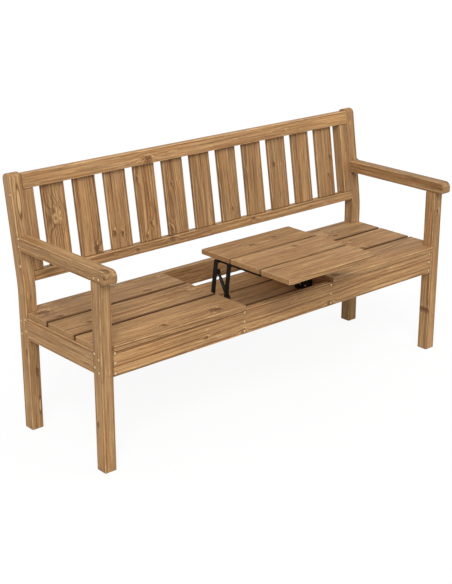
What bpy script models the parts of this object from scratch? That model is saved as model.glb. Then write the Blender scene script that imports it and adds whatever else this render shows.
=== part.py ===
"""Garden bench for three, with a small table that lifts out of the middle of its seat.

Metres, +Z up. X runs along the bench and Y from front to back. The origin is on the ground,
under the middle of the whole with its table raised. Raised is the rest position of the table's
joint, and folding the table down turns its arms towards the back.
"""

import math

import bmesh
import bpy
from mathutils import Matrix, Vector

# Clearance between two pieces that touch, and the play of a pin in its hole
FIT = 0.0003
PIN_PLAY = 0.0003

# Legs and armrests
BENCH_WIDTH = 1.600
FOOT_DEPTH = 0.460
LEG_SIZE = 0.044
POST_HEIGHT = 0.885
POST_TOP_RADIUS = 0.019
BEND_HEIGHT = 0.510
BEND_RADIUS = 0.500
RAKE = math.radians(8.5)
ARMREST_UNDERSIDE = 0.636
ARMREST_THICKNESS = 0.044
ARMREST_OVERHANG = 0.036
ARMREST_NOSE_RADIUS = 0.021
ARMREST_CHIN_RADIUS = 0.013

# Aprons and rails under the seat. The rear apron stands up behind the boards, level with their tops
SEAT_BASE = 0.408
FRONT_APRON_HEIGHT = 0.088
RAIL_HEIGHT = 0.076
CROSS_RAIL_HEIGHT = 0.068
RAIL_THICKNESS = 0.020
RAIL_SETBACK = 0.0015

# Boards of the seat, of the table and of the shelf
BOARD_THICKNESS = 0.018
SEAT_BOARD_WIDTHS = {"front": 0.150, "middle": 0.143, "rear": 0.130}
SEAT_BOARD_GAP = 0.010
SEAT_OVERHANG = 0.008
SEAT_END_SETBACK = 0.004
NOTCH_GAP = 0.001
OPENING_WIDTH = 0.420
CROSS_RAIL_SETBACK = 0.002
SHELF_BOARD_COUNT = 3
SHELF_BOARD_THICKNESS = 0.018
SHELF_BOARD_WIDTH = 0.134
SHELF_BOARD_GAP = 0.006
SHELF_REAR_REACH = 0.004

# Back
TOP_RAIL_HEIGHT = 0.049
TOP_RAIL_DROP = 0.008
BOTTOM_RAIL_HEIGHT = 0.033
BOTTOM_RAIL_UNDERSIDE = 0.527
BACK_DEPTH = 0.044
STILE_WIDTH = 0.040
SLAT_COUNT = 11
SLAT_WIDTH = 0.088
SLAT_THICKNESS = 0.014

# Table. Folded down, its front edge lies a little behind the seat's and its rear edge in line with it
TABLE_BOARD_WIDTHS = {"front": 0.136, "middle": 0.141, "rear": 0.141}
TABLE_BOARD_GAP = 0.008
TABLE_SETBACK = 0.009
TABLE_END_GAP = 0.003
BATTEN_WIDTH = 0.040
BATTEN_THICKNESS = 0.018
BATTEN_SPACING = 0.284
BATTEN_END_GAP = 0.012

# Lifting mechanism: two parallel arms and a telescopic strut at each end of the table
PLATE_THICKNESS = 0.003
ARM_THICKNESS = 0.004
ARM_WIDTH = 0.018
ARM_LENGTH = 0.191
ARM_LEAN = math.radians(7.65)
ARM_SPACING = 0.062
LAYER_GAP = 0.0005
REAR_PIVOT_DEPTH = 0.183
PIVOT_ABOVE_SHELF = 0.010
PIVOT_BELOW_TABLE = 0.0095
PIN_RADIUS = 0.0045
COLLAR_RADIUS = 0.006
BRACKET_HEIGHT = 0.047
BRACKET_ABOVE_SHELF = 0.0025
BRACKET_MARGIN = 0.013
BRACKET_CORNER = 0.008
TABLE_BAR_LENGTH = 0.215
TABLE_BAR_TAIL = 0.012
TABLE_BAR_HEIGHT = 0.016
TABLE_BAR_FLANGE = 0.020

# The strut runs from a stud on the front arm up to one on the rear arm, placed from the lower pivots
LOWER_STUD_HEIGHT = 0.069
UPPER_STUD_HEIGHT = 0.155
LOWER_STUD_RADIUS = 0.0035
STRUT_TUBE_RADIUS = 0.006
STRUT_ROD_RADIUS = 0.0045
STRUT_TUBE_LENGTH = 0.074
STRUT_ROD_LENGTH = 0.080
STRUT_EYE_RADIUS = 0.008
STRUT_EYE_LENGTH = 0.016
STRUT_EYE_THICKNESS = 0.011
STRUT_HEAD_RADIUS = 0.006
STRUT_BORE_START = 0.0175
STRUT_BORE_PLAY = 0.0006

# Edge roundings
WOOD_EDGE = 0.0022
SLAT_EDGE = 0.0015
STEEL_EDGE = 0.0005
ARC_STEPS = 6
PIN_SIDES = 24

# Heights of the shelf and of the pivots, and how far the table moves forward when it is raised
SEAT_TOP = SEAT_BASE + FIT + BOARD_THICKNESS
SHELF_TOP = SEAT_BASE - CROSS_RAIL_HEIGHT
PIVOT_HEIGHT = SHELF_TOP + PIVOT_ABOVE_SHELF
FOLDED_PIVOT_HEIGHT = SEAT_BASE + FIT - PIVOT_BELOW_TABLE
FOLDED_ANGLE = math.asin((FOLDED_PIVOT_HEIGHT - PIVOT_HEIGHT) / ARM_LENGTH)
TABLE_SHIFT = -ARM_LENGTH * (math.sin(ARM_LEAN) + math.cos(FOLDED_ANGLE))

# The raised table reaches out in front and the rear legs lean out behind: the origin is midway
POST_CORNER = POST_TOP_RADIUS * (math.cos(RAKE) + math.sin(RAKE) - 1)
POST_LEAN = (POST_HEIGHT - BEND_HEIGHT) * math.tan(RAKE) + LEG_SIZE * math.cos(RAKE)
POST_REACH = POST_LEAN - POST_CORNER - LEG_SIZE
FEET_MIDDLE = (SEAT_OVERHANG - TABLE_SETBACK - TABLE_SHIFT - POST_REACH) / 2

# Faces of the frame
LEG_OUT = BENCH_WIDTH / 2
LEG_IN = LEG_OUT - LEG_SIZE
FRONT_FACE = FEET_MIDDLE - FOOT_DEPTH / 2
REAR_FACE = FEET_MIDDLE + FOOT_DEPTH / 2
POST_FACE = REAR_FACE - LEG_SIZE
APRON_FRONT = FRONT_FACE + RAIL_SETBACK
APRON_INSIDE = APRON_FRONT + RAIL_THICKNESS
REAR_APRON_OUTSIDE = REAR_FACE - RAIL_SETBACK
REAR_APRON_INSIDE = REAR_APRON_OUTSIDE - RAIL_THICKNESS
CROSS_RAIL_IN = OPENING_WIDTH / 2 + CROSS_RAIL_SETBACK
CROSS_RAIL_OUT = CROSS_RAIL_IN + RAIL_THICKNESS
SEAT_FRONT = FRONT_FACE - SEAT_OVERHANG
TABLE_END = OPENING_WIDTH / 2 - TABLE_END_GAP

# Pivots of the table's arms
REAR_PIVOT_Y = SEAT_FRONT + REAR_PIVOT_DEPTH
FRONT_PIVOT_Y = REAR_PIVOT_Y - ARM_SPACING
RAISED_PIVOT_Y = REAR_PIVOT_Y - ARM_LENGTH * math.sin(ARM_LEAN)
RAISED_PIVOT_HEIGHT = PIVOT_HEIGHT + ARM_LENGTH * math.cos(ARM_LEAN)
RAISED_PIVOT = Vector((0, RAISED_PIVOT_Y, RAISED_PIVOT_HEIGHT))


def layer(outer, thickness):
    """A layer of the mechanism as its (outer, inner) distance from the middle of the bench."""
    return outer, outer - thickness


# Layers of the mechanism across the bench, from the cross rail inwards
BRACKET_LAYER = layer(CROSS_RAIL_IN - FIT, PLATE_THICKNESS)
REAR_ARM_LAYER = layer(BRACKET_LAYER[1] - LAYER_GAP, ARM_THICKNESS)
FRONT_ARM_LAYER = layer(REAR_ARM_LAYER[1] - LAYER_GAP, ARM_THICKNESS)
STRUT_LAYER = layer(FRONT_ARM_LAYER[1] - LAYER_GAP, 2 * STRUT_TUBE_RADIUS)
STRUT_CENTRE = sum(STRUT_LAYER) / 2
TABLE_BAR_LAYER = layer(STRUT_LAYER[1] - LAYER_GAP, PLATE_THICKNESS)

SIDES = (("left", -1), ("right", 1))


def clear_scene():
    for thing in list(bpy.data.objects):
        bpy.data.objects.remove(thing, do_unlink=True)


def paint(name, colour, roughness, metallic=0.0):
    material = bpy.data.materials.new(name)
    material.use_nodes = True
    shader = material.node_tree.nodes["Principled BSDF"]
    shader.inputs["Base Color"].default_value = (*colour, 1.0)
    shader.inputs["Roughness"].default_value = roughness
    shader.inputs["Metallic"].default_value = metallic
    return material


def fillet(corners):
    """Outline points from (a, b, radius) corners, each rounded by its own radius."""
    outline = []
    count = len(corners)
    for index, (a, b, radius) in enumerate(corners):
        here = Vector((a, b))
        if radius <= 0:
            outline.append(here)
            continue
        back = (Vector(corners[index - 1][:2]) - here).normalized()
        ahead = (Vector(corners[(index + 1) % count][:2]) - here).normalized()
        half = back.angle(ahead) / 2
        centre = here + (back + ahead).normalized() * radius / math.sin(half)
        first = here + back * radius / math.tan(half) - centre
        turn = math.pi - 2 * half
        sense = 1 if back.x * ahead.y - back.y * ahead.x < 0 else -1
        for step in range(ARC_STEPS + 1):
            angle = sense * turn * step / ARC_STEPS
            outline.append(centre + Matrix.Rotation(angle, 2) @ first)
    return [point for index, point in enumerate(outline) if (point - outline[index - 1]).length > FIT]


def rectangle(a0, b0, a1, b1, radius=0.0):
    return fillet([(a0, b0, radius), (a1, b0, radius), (a1, b1, radius), (a0, b1, radius)])


def place(axis, point, along):
    """A point in space from its place in an outline and its distance along the outline's axis."""
    a, b = point
    return {"x": (along, a, b), "y": (a, along, b), "z": (a, b, along)}[axis]


def prism(name, axis, outline, ends, material, edge=WOOD_EDGE, origin=(0, 0, 0), tilt=0.0, parent=None):
    """A closed prism with rounded edges. Its outline and ends are measured from its origin."""
    low, high = sorted(ends)
    form = bmesh.new()
    face = form.faces.new([form.verts.new(place(axis, point, low)) for point in outline])
    swept = bmesh.ops.extrude_face_region(form, geom=[face])
    moved = [item for item in swept["geom"] if isinstance(item, bmesh.types.BMVert)]
    bmesh.ops.translate(form, verts=moved, vec=place(axis, (0, 0), high - low))
    bmesh.ops.recalc_face_normals(form, faces=form.faces)
    mesh = bpy.data.meshes.new(name)
    form.to_mesh(mesh)
    form.free()
    piece = bpy.data.objects.new(name, mesh)
    bpy.context.scene.collection.objects.link(piece)
    mesh.materials.append(material)
    piece.location = origin
    piece.rotation_euler.x = tilt
    piece.parent = parent
    if edge:
        rounding = piece.modifiers.new("rounded edges", "BEVEL")
        rounding.width = edge
        rounding.segments = 2
        rounding.limit_method = "ANGLE"
        rounding.angle_limit = math.radians(35)
    mesh.shade_smooth()
    mesh.set_sharp_from_angle(angle=math.radians(30))
    return piece


def block(name, low, high, material, edge=WOOD_EDGE, parent=None):
    """A rectangular piece whose origin is at its middle."""
    middle = [(a + b) / 2 for a, b in zip(low, high)]
    half = [abs(b - a) / 2 for a, b in zip(low, high)]
    outline = rectangle(-half[0], -half[1], half[0], half[1])
    return prism(name, "z", outline, (-half[2], half[2]), material, edge, middle, parent=parent)


def rod(name, radius, ends, parent, origin=(0, 0, 0), axis="x"):
    """A round helper, hidden itself, that is joined to its parent or cut out of it."""
    low, high = sorted(ends)
    turn = {"x": Matrix.Rotation(math.pi / 2, 4, "Y"), "z": Matrix.Identity(4)}[axis]
    shift = Matrix.Translation(place(axis, (0, 0), (low + high) / 2))
    form = bmesh.new()
    size = {"segments": PIN_SIDES, "radius1": radius, "radius2": radius, "depth": high - low}
    bmesh.ops.create_cone(form, cap_ends=True, matrix=shift @ turn, **size)
    mesh = bpy.data.meshes.new(name)
    form.to_mesh(mesh)
    form.free()
    mesh.shade_smooth()
    mesh.set_sharp_from_angle(angle=math.radians(30))
    helper = bpy.data.objects.new(name, mesh)
    bpy.context.scene.collection.objects.link(helper)
    helper.location = origin
    helper.parent = parent
    helper.hide_render = True
    helper.display_type = "WIRE"
    return helper


def combine(piece, helper, operation):
    step = piece.modifiers.new(helper.name, "BOOLEAN")
    step.object = helper
    step.operation = operation
    step.solver = "EXACT"


def carrier(name, location, tilt=0.0, parent=None):
    """An empty that carries pieces: its place is a joint's axis or the corner of a sloping plane."""
    empty = bpy.data.objects.new(name, None)
    bpy.context.scene.collection.objects.link(empty)
    empty.location = location
    empty.rotation_euler.x = tilt
    empty.parent = parent
    empty.empty_display_size = LEG_SIZE
    return empty


def post_face_at(height):
    """Y of the front face of a rear leg, above its bend."""
    return POST_FACE + (height - BEND_HEIGHT) * math.tan(RAKE)


def post_outline():
    """Side view of a rear leg from its front face: upright to the bend, then leaning back."""
    bend_start = BEND_HEIGHT - BEND_RADIUS * math.tan(RAKE / 2)
    centre = Vector((BEND_RADIUS, bend_start))
    lean = Vector((math.sin(RAKE), math.cos(RAKE)))
    across = Vector((math.cos(RAKE), -math.sin(RAKE)))
    bend_end = centre - across * BEND_RADIUS
    crown = bend_end + lean * (POST_HEIGHT - bend_end.y) / lean.y
    arc = [RAKE * step / ARC_STEPS for step in range(ARC_STEPS + 1)]
    inner = BEND_RADIUS - LEG_SIZE
    front = [centre + Vector((-math.cos(angle), math.sin(angle))) * BEND_RADIUS for angle in arc]
    rear = [centre + Vector((-math.cos(angle), math.sin(angle))) * inner for angle in arc]
    corners = [(LEG_SIZE, 0, 0), (0, 0, 0)]
    corners += [(*point, 0) for point in front]
    corners += [(*crown, POST_TOP_RADIUS), (*(crown + across * LEG_SIZE), POST_TOP_RADIUS)]
    corners += [(*point, 0) for point in reversed(rear)]
    return fillet(corners)


def armrest_outline():
    """Side view of an armrest, from the top of the front leg's face: a rounded nose in front, and
    a rear end cut to the slope of the rear leg."""
    low_end = post_face_at(ARMREST_UNDERSIDE) - FIT - FRONT_FACE
    high_end = post_face_at(ARMREST_UNDERSIDE + ARMREST_THICKNESS) - FIT - FRONT_FACE
    chin = (-ARMREST_OVERHANG, 0, ARMREST_CHIN_RADIUS)
    nose = (-ARMREST_OVERHANG, ARMREST_THICKNESS, ARMREST_NOSE_RADIUS)
    return fillet([chin, (low_end, 0, 0), (high_end, ARMREST_THICKNESS, 0), nose])


def board_rows(edge, widths, gap):
    """(name, front edge, rear edge) of each board of a row that starts at its front edge."""
    rows = []
    for name, width in widths.items():
        rows.append((name, edge, edge + width))
        edge += width + gap
    return rows


def seat_board_outline(sign, front, rear):
    """Top view of a seat board, notched where it meets a front or a rear leg."""
    inner = OPENING_WIDTH / 2
    outer = LEG_OUT - SEAT_END_SETBACK
    beside_leg = LEG_IN - NOTCH_GAP
    behind_leg = FRONT_FACE + LEG_SIZE + NOTCH_GAP
    before_post = POST_FACE - NOTCH_GAP
    points = [(inner, front)]
    if front < behind_leg:
        points += [(beside_leg, front), (beside_leg, behind_leg), (outer, behind_leg)]
    else:
        points += [(outer, front)]
    if rear > before_post:
        points += [(outer, before_post), (beside_leg, before_post), (beside_leg, rear)]
    else:
        points += [(outer, rear)]
    points += [(inner, rear)]
    return [Vector((sign * x, y)) for x, y in points]


def build_legs(wood):
    ends = (-LEG_SIZE / 2, LEG_SIZE / 2)
    for side, sign in SIDES:
        middle = sign * (LEG_IN + LEG_OUT) / 2
        prism(f"rear_leg_{side}", "x", post_outline(), ends, wood, origin=(middle, POST_FACE, 0))
        low = (sign * LEG_IN, FRONT_FACE, 0)
        high = (sign * LEG_OUT, FRONT_FACE + LEG_SIZE, ARMREST_UNDERSIDE - FIT)
        block(f"front_leg_{side}", low, high, wood)
        corner = (middle, FRONT_FACE, ARMREST_UNDERSIDE)
        prism(f"armrest_{side}", "x", armrest_outline(), ends, wood, origin=corner)


def build_rails(wood):
    top = SEAT_BASE
    inner = LEG_IN - FIT
    block("front_apron", (-inner, APRON_FRONT, top - FRONT_APRON_HEIGHT), (inner, APRON_INSIDE, top), wood)
    low = (-inner, REAR_APRON_INSIDE, SEAT_TOP - RAIL_HEIGHT)
    block("rear_apron", low, (inner, REAR_APRON_OUTSIDE, SEAT_TOP), wood)
    for side, sign in SIDES:
        face = LEG_OUT - RAIL_SETBACK
        low = (sign * (face - RAIL_THICKNESS), FRONT_FACE + LEG_SIZE + FIT, top - RAIL_HEIGHT)
        high = (sign * face, POST_FACE - FIT, top)
        block(f"side_rail_{side}", low, high, wood)
        low = (sign * CROSS_RAIL_IN, APRON_INSIDE + FIT, SHELF_TOP)
        high = (sign * CROSS_RAIL_OUT, REAR_APRON_INSIDE - FIT, top)
        block(f"cross_rail_{side}", low, high, wood)


def build_seat(wood):
    base = (0, 0, SEAT_BASE + FIT)
    for side, sign in SIDES:
        for name, front, rear in board_rows(SEAT_FRONT, SEAT_BOARD_WIDTHS, SEAT_BOARD_GAP):
            outline = seat_board_outline(sign, front, rear)
            prism(f"seat_board_{name}_{side}", "z", outline, (0, BOARD_THICKNESS), wood, origin=base)


def build_shelf(wood):
    top = SHELF_TOP - FIT
    rear = REAR_APRON_INSIDE + SHELF_REAR_REACH
    for number in range(SHELF_BOARD_COUNT):
        low = (-CROSS_RAIL_OUT, rear - SHELF_BOARD_WIDTH, top - SHELF_BOARD_THICKNESS)
        block(f"shelf_board_{number + 1}", low, (CROSS_RAIL_OUT, rear, top), wood)
        rear -= SHELF_BOARD_WIDTH + SHELF_BOARD_GAP


def build_back(wood):
    """The back is flat: its pieces lie along a plane that leans back with the rear legs."""
    plane = carrier("back_plane", (0, POST_FACE, BEND_HEIGHT), -RAKE)
    half = LEG_IN - FIT
    low = (BOTTOM_RAIL_UNDERSIDE - BEND_HEIGHT) / math.cos(RAKE)
    high = (POST_HEIGHT - TOP_RAIL_DROP - BEND_HEIGHT) / math.cos(RAKE)
    sill = low + BOTTOM_RAIL_HEIGHT
    head = high - TOP_RAIL_HEIGHT
    block("back_bottom_rail", (-half, 0, low), (half, BACK_DEPTH, sill), wood, parent=plane)
    block("back_top_rail", (-half, 0, head), (half, BACK_DEPTH, high), wood, parent=plane)
    stile = LEG_IN - STILE_WIDTH
    for side, sign in SIDES:
        piece_low = (sign * stile, 0, sill + FIT)
        block(f"back_stile_{side}", piece_low, (sign * half, BACK_DEPTH, head - FIT), wood, parent=plane)
    gap = (2 * stile - SLAT_COUNT * SLAT_WIDTH) / (SLAT_COUNT + 1)
    face = (BACK_DEPTH - SLAT_THICKNESS) / 2
    for number in range(SLAT_COUNT):
        start = -stile + gap + number * (SLAT_WIDTH + gap)
        piece_low = (start, face, sill + FIT)
        piece_high = (start + SLAT_WIDTH, face + SLAT_THICKNESS, head - FIT)
        block(f"back_slat_{number + 1:02d}", piece_low, piece_high, wood, SLAT_EDGE, plane)


def build_table(wood, steel):
    """Everything that rises with the table hangs from one carrier on its rear upper pivots."""
    table = carrier("table_carrier", RAISED_PIVOT)
    rise = PIVOT_BELOW_TABLE
    back = TABLE_SHIFT - RAISED_PIVOT.y
    edge = SEAT_FRONT + TABLE_SETBACK + back
    for name, front, rear in board_rows(edge, TABLE_BOARD_WIDTHS, TABLE_BOARD_GAP):
        low = (-TABLE_END, front, rise)
        high = (TABLE_END, rear, rise + BOARD_THICKNESS)
        block(f"table_board_{name}", low, high, wood, parent=table)
    top = rise - FIT
    batten_front = APRON_INSIDE + BATTEN_END_GAP + back
    batten_rear = REAR_APRON_INSIDE - BATTEN_END_GAP + back
    for side, sign in SIDES:
        middle = sign * BATTEN_SPACING / 2
        low = (middle - BATTEN_WIDTH / 2, batten_front, top - BATTEN_THICKNESS)
        high = (middle + BATTEN_WIDTH / 2, batten_rear, top)
        block(f"table_batten_{side}", low, high, wood, parent=table)
        build_table_bar(side, sign, top, table, steel)


def build_table_bar(side, sign, top, table, steel):
    """Angle bar under one end of the table, with the two pins that its arms turn on."""
    outer, inner = TABLE_BAR_LAYER
    edge = inner - TABLE_BAR_FLANGE
    bottom = top - TABLE_BAR_HEIGHT
    under = top - PLATE_THICKNESS
    angle = [(edge, top), (outer, top), (outer, bottom), (inner, bottom), (inner, under), (edge, under)]
    outline = [Vector((sign * a, b)) for a, b in angle]
    ends = (TABLE_BAR_TAIL, TABLE_BAR_TAIL - TABLE_BAR_LENGTH)
    bar = prism(f"table_bar_{side}", "y", outline, ends, steel, STEEL_EDGE, parent=table)
    inside = (outer + inner) / 2
    for name, y, radius, reach in (
        ("rear_collar", 0, COLLAR_RADIUS, FRONT_ARM_LAYER[0] + FIT / 2),
        ("rear_pin", 0, PIN_RADIUS, REAR_ARM_LAYER[0]),
        ("front_collar", -ARM_SPACING, COLLAR_RADIUS, STRUT_LAYER[0] + FIT / 2),
        ("front_pin", -ARM_SPACING, PIN_RADIUS, FRONT_ARM_LAYER[0]),
    ):
        pin_ends = (sign * inside, sign * reach)
        helper = rod(f"table_bar_{side}_{name}", radius, pin_ends, bar, (0, y, 0))
        combine(bar, helper, "UNION")


def build_bracket(side, sign, steel):
    """Plate on the cross rail, with the two pins that the arms turn on."""
    pivot = (0, REAR_PIVOT_Y, PIVOT_HEIGHT)
    low = BRACKET_ABOVE_SHELF - PIVOT_ABOVE_SHELF
    front = -ARM_SPACING - BRACKET_MARGIN
    outline = rectangle(front, low, BRACKET_MARGIN, low + BRACKET_HEIGHT, BRACKET_CORNER)
    ends = [sign * distance for distance in BRACKET_LAYER]
    bracket = prism(f"hinge_bracket_{side}", "x", outline, ends, steel, STEEL_EDGE, pivot)
    inside = sum(BRACKET_LAYER) / 2
    for name, y, radius, reach in (
        ("rear_pin", 0, PIN_RADIUS, REAR_ARM_LAYER[1]),
        ("collar", -ARM_SPACING, COLLAR_RADIUS, REAR_ARM_LAYER[1] - FIT / 2),
        ("front_pin", -ARM_SPACING, PIN_RADIUS, FRONT_ARM_LAYER[1]),
    ):
        pin_ends = (sign * inside, sign * reach)
        helper = rod(f"hinge_bracket_{side}_{name}", radius, pin_ends, bracket, (0, y, 0))
        combine(bracket, helper, "UNION")


def build_arm(name, sign, y, layer, stud, steel):
    """Flat bar with a hole at each end, turning on its lower one. Its stud, given by its place along
    the arm, its radius and its end across the bench, holds an end of the strut."""
    half = ARM_WIDTH / 2
    outline = rectangle(-half, -half, half, ARM_LENGTH + half, half)
    ends = [sign * distance for distance in layer]
    arm = prism(name, "x", outline, ends, steel, STEEL_EDGE, (0, y, PIVOT_HEIGHT), ARM_LEAN)
    reach = (ends[0] + sign * ARM_THICKNESS, ends[1] - sign * ARM_THICKNESS)
    for hole, height in (("lower_hole", 0), ("upper_hole", ARM_LENGTH)):
        cutter = rod(f"{name}_{hole}", PIN_RADIUS + PIN_PLAY, reach, arm, (0, 0, height))
        combine(arm, cutter, "DIFFERENCE")
    height, radius, stud_end = stud
    stud_ends = (sum(ends) / 2, sign * stud_end)
    combine(arm, rod(f"{name}_stud", radius, stud_ends, arm, (0, 0, height)), "UNION")


def build_strut(side, sign, steel):
    """Telescopic strut between the two arms. Its tube turns on the front arm's stud, and the head of
    its rod rests against the rear arm's."""
    along = Vector((0, -math.sin(ARM_LEAN), math.cos(ARM_LEAN)))
    lower = Vector((0, FRONT_PIVOT_Y, PIVOT_HEIGHT)) + along * LOWER_STUD_HEIGHT
    upper = Vector((0, REAR_PIVOT_Y, PIVOT_HEIGHT)) + along * UPPER_STUD_HEIGHT
    span = upper - lower
    tilt = -math.atan2(span.y, span.z)
    middle = sign * STRUT_CENTRE
    ends = (middle - STRUT_EYE_THICKNESS / 2, middle + STRUT_EYE_THICKNESS / 2)
    size = STRUT_EYE_RADIUS
    eye = rectangle(-size, -size, size, STRUT_EYE_LENGTH, size)
    tube = prism(f"strut_tube_{side}", "x", eye, ends, steel, STEEL_EDGE, lower, tilt)
    at = (middle, 0, 0)
    barrel_ends = (size + LOWER_STUD_RADIUS, STRUT_TUBE_LENGTH)
    barrel = rod(f"strut_tube_{side}_barrel", STRUT_TUBE_RADIUS, barrel_ends, tube, at, "z")
    combine(tube, barrel, "UNION")
    bore_ends = (STRUT_BORE_START, STRUT_TUBE_LENGTH + ARM_WIDTH)
    bore_radius = STRUT_ROD_RADIUS + STRUT_BORE_PLAY
    bore = rod(f"strut_tube_{side}_bore", bore_radius, bore_ends, tube, at, "z")
    combine(tube, bore, "DIFFERENCE")
    reach = (middle - 2 * STRUT_TUBE_RADIUS, middle + 2 * STRUT_TUBE_RADIUS)
    hole = rod(f"strut_tube_{side}_hole", LOWER_STUD_RADIUS + PIN_PLAY, reach, tube)
    combine(tube, hole, "DIFFERENCE")
    size = STRUT_HEAD_RADIUS
    head = rectangle(-size, -2 * size, size, size, size)
    piston = prism(f"strut_rod_{side}", "x", head, ends, steel, STEEL_EDGE, upper, tilt)
    shaft = rod(f"strut_rod_{side}_shaft", STRUT_ROD_RADIUS, (-STRUT_ROD_LENGTH, -size), piston, at, "z")
    combine(piston, shaft, "UNION")


def main():
    clear_scene()
    wood = paint("stained_pine", (0.42, 0.27, 0.15), 0.6)
    steel = paint("black_steel", (0.02, 0.02, 0.02), 0.4, 0.6)
    build_legs(wood)
    build_rails(wood)
    build_seat(wood)
    build_shelf(wood)
    build_back(wood)
    build_table(wood, steel)
    upper_stud = (UPPER_STUD_HEIGHT, STRUT_HEAD_RADIUS, STRUT_LAYER[0])
    lower_stud = (LOWER_STUD_HEIGHT, LOWER_STUD_RADIUS, STRUT_LAYER[1])
    for side, sign in SIDES:
        build_bracket(side, sign, steel)
        build_arm(f"rear_arm_{side}", sign, REAR_PIVOT_Y, REAR_ARM_LAYER, upper_stud, steel)
        build_arm(f"front_arm_{side}", sign, FRONT_PIVOT_Y, FRONT_ARM_LAYER, lower_stud, steel)
        build_strut(side, sign, steel)


main()
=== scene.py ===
"""Looks of the garden bench with its lift-up table: pine, black steel, screws, floor, light and camera."""

import math
from collections import namedtuple

import bmesh
import bpy
from mathutils import Euler, Matrix, Vector


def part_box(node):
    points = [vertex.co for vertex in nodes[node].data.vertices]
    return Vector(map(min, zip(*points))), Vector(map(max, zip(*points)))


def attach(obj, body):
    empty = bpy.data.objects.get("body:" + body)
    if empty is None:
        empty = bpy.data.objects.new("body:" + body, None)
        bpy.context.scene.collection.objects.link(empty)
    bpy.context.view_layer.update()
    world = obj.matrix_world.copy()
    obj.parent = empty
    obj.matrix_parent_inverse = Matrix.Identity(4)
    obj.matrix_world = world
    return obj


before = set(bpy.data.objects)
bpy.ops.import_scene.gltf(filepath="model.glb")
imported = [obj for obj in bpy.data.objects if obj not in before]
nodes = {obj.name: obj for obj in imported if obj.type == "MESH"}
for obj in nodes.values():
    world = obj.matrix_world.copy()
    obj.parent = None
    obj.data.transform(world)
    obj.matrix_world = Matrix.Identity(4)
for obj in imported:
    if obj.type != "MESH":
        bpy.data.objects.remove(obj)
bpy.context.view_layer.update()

# The rear legs are upright as far as the bend and lean back above it
RAKE = math.radians(8.5)
BEND_HEIGHT = 0.510
# How much a log's radius shrinks per metre
TAPER = 0.012
# The roughness of planed pine, and how much blue its warm stain lets through
ROUGHNESS = 0.66
BLUE = 0.93


def rgb(red, green, blue):
    """A colour named by its 0-255 values, as the linear colour that a shader takes, by the sRGB curve."""
    levels = [value / 255 for value in (red, green, blue)]
    linear = [((level + 0.055) / 1.055) ** 2.4 if level > 0.04045 else level / 12.92 for level in levels]
    return (*linear, 1.0)


# Stained pine
EARLY_LIGHT = rgb(190, 150, 107)
EARLY_DARK = rgb(150, 111, 73)
LATE_WOOD = rgb(106, 69, 38)
STREAK_BROWN = rgb(98, 62, 36)
STREAK_RED = rgb(140, 84, 48)
# A pale colour for flecks in the grain and for worn arrises, where it is also painted highlight of rounded
# edges catching the light
PALE_WEAR_AND_SHEEN = rgb(216, 180, 134)
HONEY = rgb(180, 130, 78)
GREY_WEAR = rgb(160, 128, 94)
KNOT_DARK = rgb(74, 44, 24)
KNOT_BROWN = rgb(132, 88, 52)
KNOT_HALO = rgb(212, 174, 126)
END_GRAIN = rgb(158, 119, 80)
# Painted shade in the seams between boards and in butt joints
SEAM_SHADE = rgb(76, 45, 20)
# Pressed wood round screw heads, also painted shade of the countersink
CRUSHED_AND_SHADED = rgb(92, 60, 36)
# Metal
BLACK_COAT = rgb(9, 8, 7)
COAT_WORN = rgb(34, 31, 29)
ZINC = rgb(244, 212, 160)
ZINC_DULL = rgb(206, 170, 118)
# Painted shade inside the screws' recesses
RECESS = rgb(92, 68, 44)
# Studio
WHITE = (1.0, 1.0, 1.0, 1.0)
FLOOR_GREY = (0.55, 0.55, 0.55, 1.0)


class Nodes:
    """Short ways to add and link the shader nodes of one material or world."""

    def __init__(self, owner):
        owner.use_nodes = True
        self.owner = owner
        self.tree = owner.node_tree
        self.shader = self.tree.nodes.get("Principled BSDF")

    def set(self, socket, value):
        if isinstance(value, bpy.types.NodeSocket):
            self.tree.links.new(value, socket)
        elif value is not None:
            socket.default_value = value

    def node(self, kind, inputs, **settings):
        node = self.tree.nodes.new(kind)
        for key, value in settings.items():
            setattr(node, key, value)
        for key, value in inputs.items():
            self.set(node.inputs[key], value)
        return node

    def place(self):
        """Each point's place on the object at rest, in metres."""
        return self.node("ShaderNodeTexCoord", {}).outputs["Object"]

    def math(self, operation, a, b=None, c=None):
        return self.node("ShaderNodeMath", {0: a, 1: b, 2: c}, operation=operation).outputs[0]

    def vector(self, operation, a, b=None):
        node = self.node("ShaderNodeVectorMath", {0: a, 1: b}, operation=operation)
        return node.outputs[1] if operation in ("LENGTH", "DOT_PRODUCT") else node.outputs[0]

    def noise(self, place, stretch, detail=2.0, roughness=0.5, distortion=0.0):
        """Stretched noise: the higher a number of stretch, the finer the noise along that axis."""
        inputs = {"Vector": self.vector("MULTIPLY", place, stretch), "Scale": 1.0, "Detail": detail,
                  "Roughness": roughness, "Distortion": distortion}
        return self.node("ShaderNodeTexNoise", inputs).outputs[0]

    def span(self, value, low, high, first=0.0, last=1.0):
        """A smooth step from first to last as value goes from low to high."""
        inputs = {0: value, 1: low, 2: high, 3: first, 4: last}
        return self.node("ShaderNodeMapRange", inputs, interpolation_type="SMOOTHSTEP").outputs[0]

    def wave(self, value, amount):
        """A noise value moved to swing about zero by half of amount."""
        return self.math("MULTIPLY_ADD", value, amount, -amount / 2)

    def mix(self, factor, a, b, blend="MIX"):
        node = self.node("ShaderNodeMix", {0: factor}, data_type="RGBA", blend_type=blend)
        self.set(node.inputs[6], a)
        self.set(node.inputs[7], b)
        return node.outputs[2]

    def finish(self, colour, roughness, height, distance, strength):
        """Link colour, roughness and bumps of a height to the shader, and return the material."""
        self.set(self.shader.inputs["Base Color"], colour)
        self.set(self.shader.inputs["Roughness"], roughness)
        bump = self.node("ShaderNodeBump", {"Height": height, "Distance": distance, "Strength": strength})
        self.set(self.shader.inputs["Normal"], bump.outputs[0])
        return self.owner


def new_material(name):
    return Nodes(bpy.data.materials.new(name))


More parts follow.
